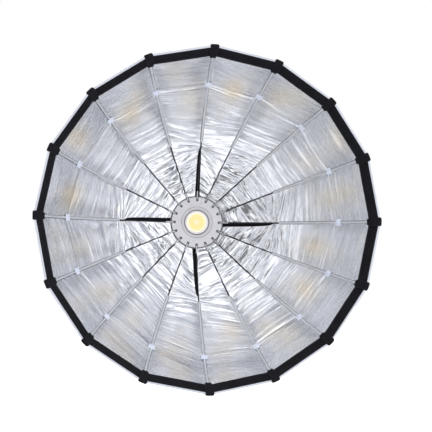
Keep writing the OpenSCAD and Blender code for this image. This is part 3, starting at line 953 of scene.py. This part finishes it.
# %% Sleeve
SLEEVE_START_R, SLEEVE_END_R, TUBE_R = 0.232, 0.4266, 0.0024
EDGE_WAVER, TUBE_WAVER = 0.00018, 0.00012
section = [(0.0045, None, 0.0006), (0.0037, None, 0.0008), (0.0030, None, 0.0007), (0.0026, 0.0009, 0)]
section += [(0.00235, 0.0, 0)] + [(TUBE_R * math.sin(a), -TUBE_R * math.cos(a), 0) for a in (1.2, 0.8, 0.4)]
section = [(-c, o, h) for c, o, h in section] + [(0.0, -TUBE_R, 0)] + section[::-1]
sleeve, u, v = new_grid("sleeve_01", len(section) - 1, 130)
point = np.round(u * (len(section) - 1)).astype(int)
angle = rod_angle(SLEEVE_START_R) + v * (rod_angle(SLEEVE_END_R) - rod_angle(SLEEVE_START_R))
aside = np.array([s[0] for s in section])[point]
on_cloth = np.array([s[1] is None for s in section])[point]
over_rod = np.array([s[1] or 0.0 for s in section])[point]
above = np.array([s[2] for s in section])[point] + EDGE_WAVER * smooth_noise(v * 70, point * 0.6)
offset = np.where(on_cloth, ROD_OFF - np.abs(aside) * math.tan(HALF) * np.cos(angle) - above, over_rod)
offset = offset + np.where(on_cloth, 0, TUBE_WAVER * smooth_noise(v * 44 + 5, point * 0.4))
outward, forward = beside_rod(angle, offset)
points = np.stack([aside, -forward, outward], -1)
sew(sleeve, points, aside, ROD_R * (angle - ROOT_A), sleeve_tape, thick=0.0004, smooth=50)

# %% [markdown]
# ## Keeper, pocket, flaps and neck
#
# The keeper is a clear plastic clip with a bridge over the sleeved rod: a box whose bridge is extruded from
# its middle. The pocket is a patch of black cloth that lies over the end of the rod and goes round the rim.
# It is a coarse strip of points along that way, dropped to the hem at its sides, which is then thickened
# and subdivided into a soft form. A flap of black cloth lies behind each slit.

# %% Keeper
KEEPER_SIZE, KEEPER_LIFT = (0.0175, 0.0165, 0.0012), 0.0007
BRIDGE_HALF_W, BRIDGE_RISE, BRIDGE_TAPER = 0.0036, 0.0026, 0.72
clear_plastic = speckled(
    "clear_plastic", grains=(700.0, 90.0), dark=(0.66, 0.71, 0.83), light=(0.78, 0.82, 0.92),
    rough=(0.22, 0.4), bump=(0.15, 0.0003), spread=(0.0, 1.0), IOR=1.46, Subsurface_Weight=0.25,
    Subsurface_Radius=(0.004, 0.004, 0.005))
bpy.ops.object.select_all(action="DESELECT")
bpy.ops.mesh.primitive_cube_add(size=1, location=(0, 0, KEEPER_LIFT))
keeper = bpy.context.object
keeper.name = keeper.data.name = "keeper_01"
keeper.scale = KEEPER_SIZE
bpy.ops.object.transform_apply(location=True, rotation=True, scale=True)
for x in (-BRIDGE_HALF_W, BRIDGE_HALF_W):
    edit_faces(keeper, [True] * len(keeper.data.polygons))
    bpy.ops.mesh.bisect(plane_co=(x, 0, 0), plane_no=(1, 0, 0))
    bpy.ops.object.mode_set(mode="OBJECT")
edit_faces(keeper, [p.normal.z > 0.9 and abs(p.center.x) < BRIDGE_HALF_W for p in keeper.data.polygons])
bpy.ops.mesh.extrude_region_move(TRANSFORM_OT_translate={"value": (0, 0, BRIDGE_RISE)})
bpy.ops.transform.resize(value=(BRIDGE_TAPER, 1, 1), center_override=(0, 0, 0))
bpy.ops.object.mode_set(mode="OBJECT")
bevel = keeper.modifiers.new("soft edges", "BEVEL")
bevel.width, bevel.segments, bevel.limit_method, bevel.angle_limit = 0.0006, 3, "ANGLE", math.radians(35)
bpy.ops.object.modifier_apply(modifier=bevel.name)
bpy.ops.object.shade_smooth_by_angle(angle=math.radians(40))
keeper.data.materials.append(clear_plastic)
a = float(rod_angle(KEEPER_R))
stand = Matrix(((1, 0, 0), (0, -math.cos(a), -math.sin(a)), (0, math.sin(a), -math.cos(a))))
stand = stand.transposed().to_4x4()
outward, forward = beside_rod(a, 0.0)
stand.translation = (0, -forward, outward)
keeper.data.transform(stand)
print("keeper", len(keeper.data.polygons), "faces")

# %% Pocket
BACK_F, FOOT_OFF, TOP_OFF = 0.3583, 0.0006, -0.0032
on_rod = (0.4233, 0.4250, 0.4285, 0.4325, 0.4360)
round_rim = [
    (0.4402, 0.3690), (0.4425, 0.3712), (0.4450, 0.3717), (0.4480, 0.3716), (0.4497, 0.3702),
    (0.4499, 0.3660), (0.4499, 0.3620), (0.4490, BACK_F),
]
behind_rim = [(0.4412, 0.3640), (0.4432, BACK_F)] + [(x, BACK_F) for x, f in round_rim[2:]]
foot_on_rod = [beside_rod(rod_angle(r), FOOT_OFF) for r in on_rod]
top = np.array(foot_on_rod[:1] + [beside_rod(rod_angle(r), TOP_OFF) for r in on_rod[1:]] + round_rim)
foot = np.array(foot_on_rod + behind_rim)
half_width = [0.0048, 0.0075, 0.0098, 0.0112, 0.0118, 0.0124, 0.0126, 0.0125, 0.0117, 0.0098] + [0.0088] * 3
on_slope = np.array([1.0] * 5 + [0.7, 0.3] + [0.0] * 6)
half_stations, half_rise = [1, 0.99, 0.93, 0.7, 0.35], [0, 0.55, 0.9, 0.97, 1]
stations = np.array([-s for s in half_stations] + [0] + half_stations[::-1])
rise = np.array(half_rise + [1.03] + half_rise[::-1])
pocket, u, v = new_grid("pocket_01", len(stations) - 1, len(top) - 1)
column, row = np.round(u * (len(stations) - 1)).astype(int), np.round(v * (len(top) - 1)).astype(int)
aside = stations[column] * np.array(half_width)[row]
spot = foot[row] + (top - foot)[row] * rise[column][:, None]
points = np.stack([aside, -spot[:, 1], spot[:, 0] - on_slope[row] * np.abs(aside) * math.tan(HALF)], -1)
sew(pocket, points, aside, lengths_along(top)[row], pocket_cloth, thick=0.0009, smooth=60, rounds=2)

# %% Black flaps behind the slits
FLAP_START_R, FLAP_END_R, FLAP_OVERLAP = 0.0795, 0.227, 0.006
WIDTH_TO_R, FLAP_SAG = 0.2195, 0.0006


def slit_flap(rib):
    """The strip of black cloth behind a rod's slit, made at the top rod."""
    piece, u, v = new_grid(f"flap_{rib + 1:02d}", 14, 70)
    angle = gore_angle(FLAP_START_R) + v * (gore_angle(FLAP_END_R) - gore_angle(FLAP_START_R))
    apothem = profile(angle)[0]
    near, far = slit_edges(rib, np.minimum(apothem / math.cos(HALF), WIDTH_TO_R), grow=FLAP_OVERLAP)
    aside = near + u * (far - near)
    side = aside / (apothem * math.sin(HALF))
    sag = FLAP_SAG * (2 + smooth_noise(v * 9, u * 2))
    points = gore_point(*gore_beside(0, side), *profile(angle, -CLOTH_T - sag))
    return sew(piece, points, aside, length_to(angle), hem_cloth, thick=0.0008, smooth=50)


top_flap, side_flap = slit_flap(0), slit_flap(SLIT_RIBS[1])

# %% Neck band
BAND_T, BAND_IN, BAND_BEHIND = 0.0030, 0.0009, 0.0037
bpy.ops.object.select_all(action="DESELECT")
bpy.ops.mesh.primitive_torus_add(
    major_radius=NECK_R - BAND_IN, minor_radius=BAND_T, major_segments=128, minor_segments=14,
    location=(0, BAND_BEHIND - profile(NECK_ANGLE)[1], 0), rotation=(math.pi / 2, 0, 0))
neck_band = bpy.context.object
neck_band.name = neck_band.data.name = "neck_band"
bpy.ops.object.transform_apply(location=True, rotation=True, scale=True)
bpy.ops.object.shade_smooth()
neck_band.data.uv_layers[0].name = "cloth"
elastic = speckled(
    "elastic", grains=(900.0, 70.0), dark=(0.15, 0.155, 0.165), light=(0.23, 0.235, 0.245),
    rough=(0.55, 0.75), bump=(0.4, 0.0004))
neck_band.data.materials.append(elastic)
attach(neck_band, "hub")
print("neck band", len(neck_band.data.polygons), "faces")

# %% [markdown]
# ## All the way round
#
# Every sewn piece is copied with its own mesh and turned about the dish axis. Then each piece is attached to
# the rod it rides on, and the CAD solid it stands for is hidden. The size the canopy's cloth was cut to is
# measured on the plain gore before it was creased.

# %% Copies
sewn = {}


def turn_round(piece, ribs):
    """Copies a piece made at the top rod to the other rods that have it, then turns it to the first."""
    stem = piece.name[:-3]
    for rib in reversed(ribs):
        copy = piece if rib == ribs[0] else piece.copy()
        if copy is not piece:
            copy.data = piece.data.copy()
            copy.name = copy.data.name = f"{stem}_{rib + 1:02d}"
            bpy.context.scene.collection.objects.link(copy)
        copy.data.transform(Matrix.Rotation(rib * 2 * HALF, 4, "Y"))
        sewn[stem, rib] = copy


for source in (hem, binding, sleeve, keeper, pocket):
    turn_round(source, range(RIBS))
turn_round(top_flap, SLIT_RIBS[:1])
turn_round(side_flap, SLIT_RIBS[1:])
print(len(sewn), "sewn pieces")

# %% Riding and cut sizes
total_area = 0.0
for rib in range(RIBS):
    number, body, joint = f"{rib + 1:02d}", f"rib_body_{rib + 1:02d}", f"fold_{rib + 1:02d}"
    trim = {name: piece for (name, r), piece in sewn.items() if r == rib}
    for name, piece in trim.items():
        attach(piece, body)
        if name in ("hem", "binding", "sleeve", "keeper"):
            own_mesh(piece)
    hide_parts(f"trim_{number}")
    if "flap" in trim:
        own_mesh(trim["flap"])
    for k, keep in enumerate(band_keeps):
        piece = canopy[rib, k]
        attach(piece, body)
        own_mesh(piece)
        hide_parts(f"panel_{number}")
        apothems = [profile(a)[0] for a in band_angles[k:k + 2]]
        inner, outer = (2 * apothem * math.tan(HALF) for apothem in apothems)
        long = GORE_R * (band_angles[k + 1] - band_angles[k])
        cut = (inner + outer) / 2 * long
        if rib in SLIT_RIBS:
            near, far = slit_edges(rib, np.linspace(*(apothem / math.cos(HALF) for apothem in apothems), 40))
            cut -= float((far - near).mean() * long)
        total_area += cut
print(f"canopy cloth {total_area:.3f} square metres")

# %% [markdown]
# ## Metal, plastic and light
#
# The hub is a set of turned aluminium parts. Its front plate is bead-blasted and anodised a pale grey, the
# collar at its back is bare, the body between them is black, and the last two show the lathe's rings. The
# black body also stands as painted shade in the thin ring of it seen between the plate and the cloth. Every
# corner is rubbed a little brighter. A Bevel node finds those corners: where the normal it rounds off
# differs from the plain one there is an edge. The borders of the plate's slots, the long sides of the roots
# and the outer edge of the ring round the lamp are painted dark as shade. The rods are dark spring steel,
# crimped into cast roots; both are one CAD part, so the finish changes with the distance from the axis.

# %% Edge wear and distances
edge_wear, take, give = new_group("edge_wear", [("Reach", 0.0008)], ["Mask"])
rounded = add_node(edge_wear, "ShaderNodeBevel", {"Radius": take["Reach"]}, samples=4).outputs[0]
plain = add_node(edge_wear, "ShaderNodeNewGeometry").outputs["Normal"]
agree = add_node(edge_wear, "ShaderNodeVectorMath", {0: rounded, 1: plain}, operation="DOT_PRODUCT")
edge_wear.links.new(ranged(edge_wear, agree.outputs["Value"], 1.0, 0.0, 0.75, 0.98), give["Mask"])

distance_inputs = [("Vector", None), ("Pitch", 0.0006)]
axis_distance, take, give = new_group("axis_distance", distance_inputs, ["Radius", "Rings"])
parts = add_node(axis_distance, "ShaderNodeSeparateXYZ", {0: take["Vector"]}).outputs
flat = add_node(axis_distance, "ShaderNodeCombineXYZ", {0: parts[0], 1: parts[2]}).outputs[0]
radius = add_node(axis_distance, "ShaderNodeVectorMath", {0: flat}, operation="LENGTH").outputs["Value"]
axis_distance.links.new(radius, give["Radius"])
turns = maths(axis_distance, "DIVIDE", maths(axis_distance, "ADD", radius, parts[1]), take["Pitch"])
axis_distance.links.new(maths(axis_distance, "SINE", turns), give["Rings"])

beside_rib, take, give = new_group("beside_rib", [("Vector", None), ("Radius", 0.0)], ["Distance"])
parts = add_node(beside_rib, "ShaderNodeSeparateXYZ", {0: take["Vector"]}).outputs
turn = maths(beside_rib, "DIVIDE", maths(beside_rib, "ARCTAN2", parts[0], parts[2]), 2 * HALF)
off = maths(beside_rib, "ABSOLUTE", maths(beside_rib, "SUBTRACT", turn, maths(beside_rib, "ROUND", turn)))
aside = maths(beside_rib, "MULTIPLY", maths(beside_rib, "MULTIPLY", off, 2 * HALF), take["Radius"])
beside_rib.links.new(aside, give["Distance"])

# %% Metal finishes
RING_PITCH = 0.0002


def metal(name, dark, light, worn, rough, rings, **values):
    """A metal with grain in its colour, worn corners, and a share of lathe rings in its bump."""
    made, tree, shader = new_finish(name, **values)
    place = object_place(tree)
    fine, broad = grain_in(tree, place, 1500.0, 26.0)
    turned_marks = group_in(tree, axis_distance, {"Vector": place, "Pitch": RING_PITCH})["Rings"]
    colour = between(tree, ranged(tree, broad, 0.0, 1.0, 0.3, 0.7), dark, light)
    patchy = ranged(tree, fine, 0.2, 0.9, 0.35, 0.6)
    rubbed = maths(tree, "MULTIPLY", group_in(tree, edge_wear)["Mask"], patchy)
    gloss = ranged(tree, fine, rough - 0.08, rough + 0.1, 0.3, 0.7)
    wire(tree, shader, Base_Color=between(tree, rubbed, colour, worn), Roughness=gloss)
    bumped(tree, shader, maths(tree, "ADD", maths(tree, "MULTIPLY", turned_marks, rings), fine), 0.25, 0.0002)
    return made


def distances(tree):
    """The distances of a point to the dish axis and to the middle of the nearest rib."""
    place = object_place(tree)
    radius = group_in(tree, axis_distance, {"Vector": place})["Radius"]
    return radius, group_in(tree, beside_rib, {"Vector": place, "Radius": radius})["Distance"]


def shaded(finish, mask_of, shade):
    """Paints shade onto a metal where a mask, made from its distances to the axis and to the nearest rib,
    says so.
    """
    tree, shader = finish.node_tree, finish.node_tree.nodes["Principled BSDF"]
    plain = shader.inputs["Base Color"].links[0].from_socket
    wire(tree, shader, Base_Color=between(tree, mask_of(tree, *distances(tree)), plain, shade))


def slot_shade(tree, radius, beside):
    """The painted shade along the border of the slots in the front plate."""
    near = ranged(tree, beside, 0.9, 0.0, 0.0033, 0.0039)
    return maths(tree, "MULTIPLY", near, ranged(tree, radius, 0.0, 1.0, 0.0628, 0.0638))


def bezel_edge_shade(tree, radius, beside):
    """The painted shade line along the outer edge of the ring round the lamp."""
    return ranged(tree, radius, 0.0, 0.5, 0.0450, 0.0456)


plate_grey = metal(
    "plate_grey", dark=(0.70, 0.69, 0.72), light=(0.77, 0.76, 0.79), worn=(0.88, 0.88, 0.90),
    rough=0.46, rings=0.0, Metallic=0.2)
bezel_grey = metal(
    "bezel_grey", dark=(0.66, 0.65, 0.68), light=(0.74, 0.73, 0.76), worn=(0.86, 0.86, 0.88),
    rough=0.44, rings=0.0, Metallic=0.2)
# Painted shade: a dark border round each slot in the front plate stands in for the shade in the gap beside
# the root.
shaded(plate_grey, slot_shade, (0.11, 0.11, 0.13))
# Painted shade: a thin dark line along the outer edge of the ring round the lamp stands in for the shade in
# its gap.
shaded(bezel_grey, bezel_edge_shade, (0.20, 0.20, 0.22))
turned_aluminium = metal(
    "turned_aluminium", dark=(0.40, 0.40, 0.42), light=(0.48, 0.48, 0.50), worn=(0.72, 0.72, 0.74),
    rough=0.36, rings=0.8, Metallic=0.9)
dark_aluminium = metal(
    "dark_aluminium", dark=(0.055, 0.055, 0.062), light=(0.085, 0.085, 0.092), worn=(0.35, 0.35, 0.37),
    rough=0.42, rings=0.5, Metallic=0.7)
bright_steel = metal(
    "bright_steel", dark=(0.52, 0.52, 0.53), light=(0.62, 0.62, 0.63), worn=(0.80, 0.80, 0.81),
    rough=0.28, rings=0.3, Metallic=1.0)

# %% Rods and roots
ROOT_END_R = 0.0937
rib_steel, tree, steel = new_finish("rib_steel", Metallic=0.75)
fine, broad = grain_in(tree, object_place(tree), 1100.0, 60.0)
radius, beside = distances(tree)
cast = between(tree, broad, (0.60, 0.60, 0.63), (0.74, 0.74, 0.77))
cast = between(tree, group_in(tree, edge_wear, {"Reach": 0.0006})["Mask"], cast, (0.86, 0.86, 0.88))
# Painted shade: the long sides of each root are dark, standing in for the shade in its slot in the plate.
cast = between(tree, ranged(tree, beside, 0.0, 0.92, 0.0013, 0.0017), cast, (0.05, 0.05, 0.06))
spring = between(tree, broad, (0.030, 0.031, 0.036), (0.07, 0.07, 0.078))
colour = between(tree, maths(tree, "GREATER_THAN", radius, ROOT_END_R), cast, spring)
wire(tree, steel, Base_Color=colour, Roughness=ranged(tree, fine, 0.3, 0.46, 0.3, 0.7))
bumped(tree, steel, fine, 0.2, 0.0002)

# %% Lamp finishes
black_rubber = speckled(
    "black_rubber", grains=(1200.0, 50.0), dark=(0.05, 0.05, 0.06), light=(0.075, 0.075, 0.088),
    rough=(0.6, 0.8), bump=(0.3, 0.0002))
# Painted glow: the lamp's white reflector gets a faint warm emission, though it is no light source.
white_plastic = speckled(
    "white_plastic", grains=(1300.0, 40.0), dark=(0.77, 0.745, 0.75), light=(0.84, 0.815, 0.82),
    rough=(0.3, 0.45), bump=(0.12, 0.0002), Emission_Color=(1.0, 0.95, 0.93, 1), Emission_Strength=0.06)

phosphor, tree, glow = new_finish("phosphor", Emission_Strength=0.42, Coat_Weight=0.4, Coat_Roughness=0.12)
fine, broad = grain_in(tree, object_place(tree), 900.0, 60.0)
fade = ramp(tree, ranged(tree, distances(tree)[0], 0.0, 1.0, 0.0, 0.03), [
    (0.0, (0.86, 0.70, 0.50)), (0.45, (0.86, 0.65, 0.25)), (0.72, (0.85, 0.66, 0.30)),
    (0.88, (0.85, 0.73, 0.50)), (0.98, (0.82, 0.78, 0.76)),
])
dusted = between(tree, ranged(tree, broad, 0.0, 0.06, 0.4, 0.7), fade, (0.98, 0.90, 0.66))
gloss = ranged(tree, fine, 0.4, 0.6, 0.3, 0.7)
wire(tree, glow, Base_Color=dusted, Emission_Color=dusted, Roughness=gloss)
bumped(tree, glow, fine, 0.2, 0.0002)

# %% Put the finishes on the CAD parts
# The hub's body is dark aluminium, so the thin ring of it seen between the plate and the cloth reads as
# painted shade.
finishes = {
    "front_plate": plate_grey, "hub_body": dark_aluminium, "hinge_pins": bright_steel,
    "plate_screws": bright_steel, "bayonet_collar": turned_aluminium, "collar_screws": bright_steel,
    "lamp_body": dark_aluminium, "lamp_bezel": bezel_grey, "lamp_gasket": black_rubber,
    "lamp_reflector": white_plastic, "lamp_emitter": phosphor,
}
finishes.update({f"rib_{n:02d}": rib_steel for n in range(1, RIBS + 1)})
for name, finish in finishes.items():
    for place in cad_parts[name].material_slots:
        place.material = finish
print(len(finishes), "CAD parts finished")

# %% [markdown]
# ## Colour view
#
# The view transform is set to Standard, so colours render as they are written. Cloth may stand proud of
# its solids only a little.

# %% View transform
bpy.context.scene.view_settings.view_transform = "Standard"
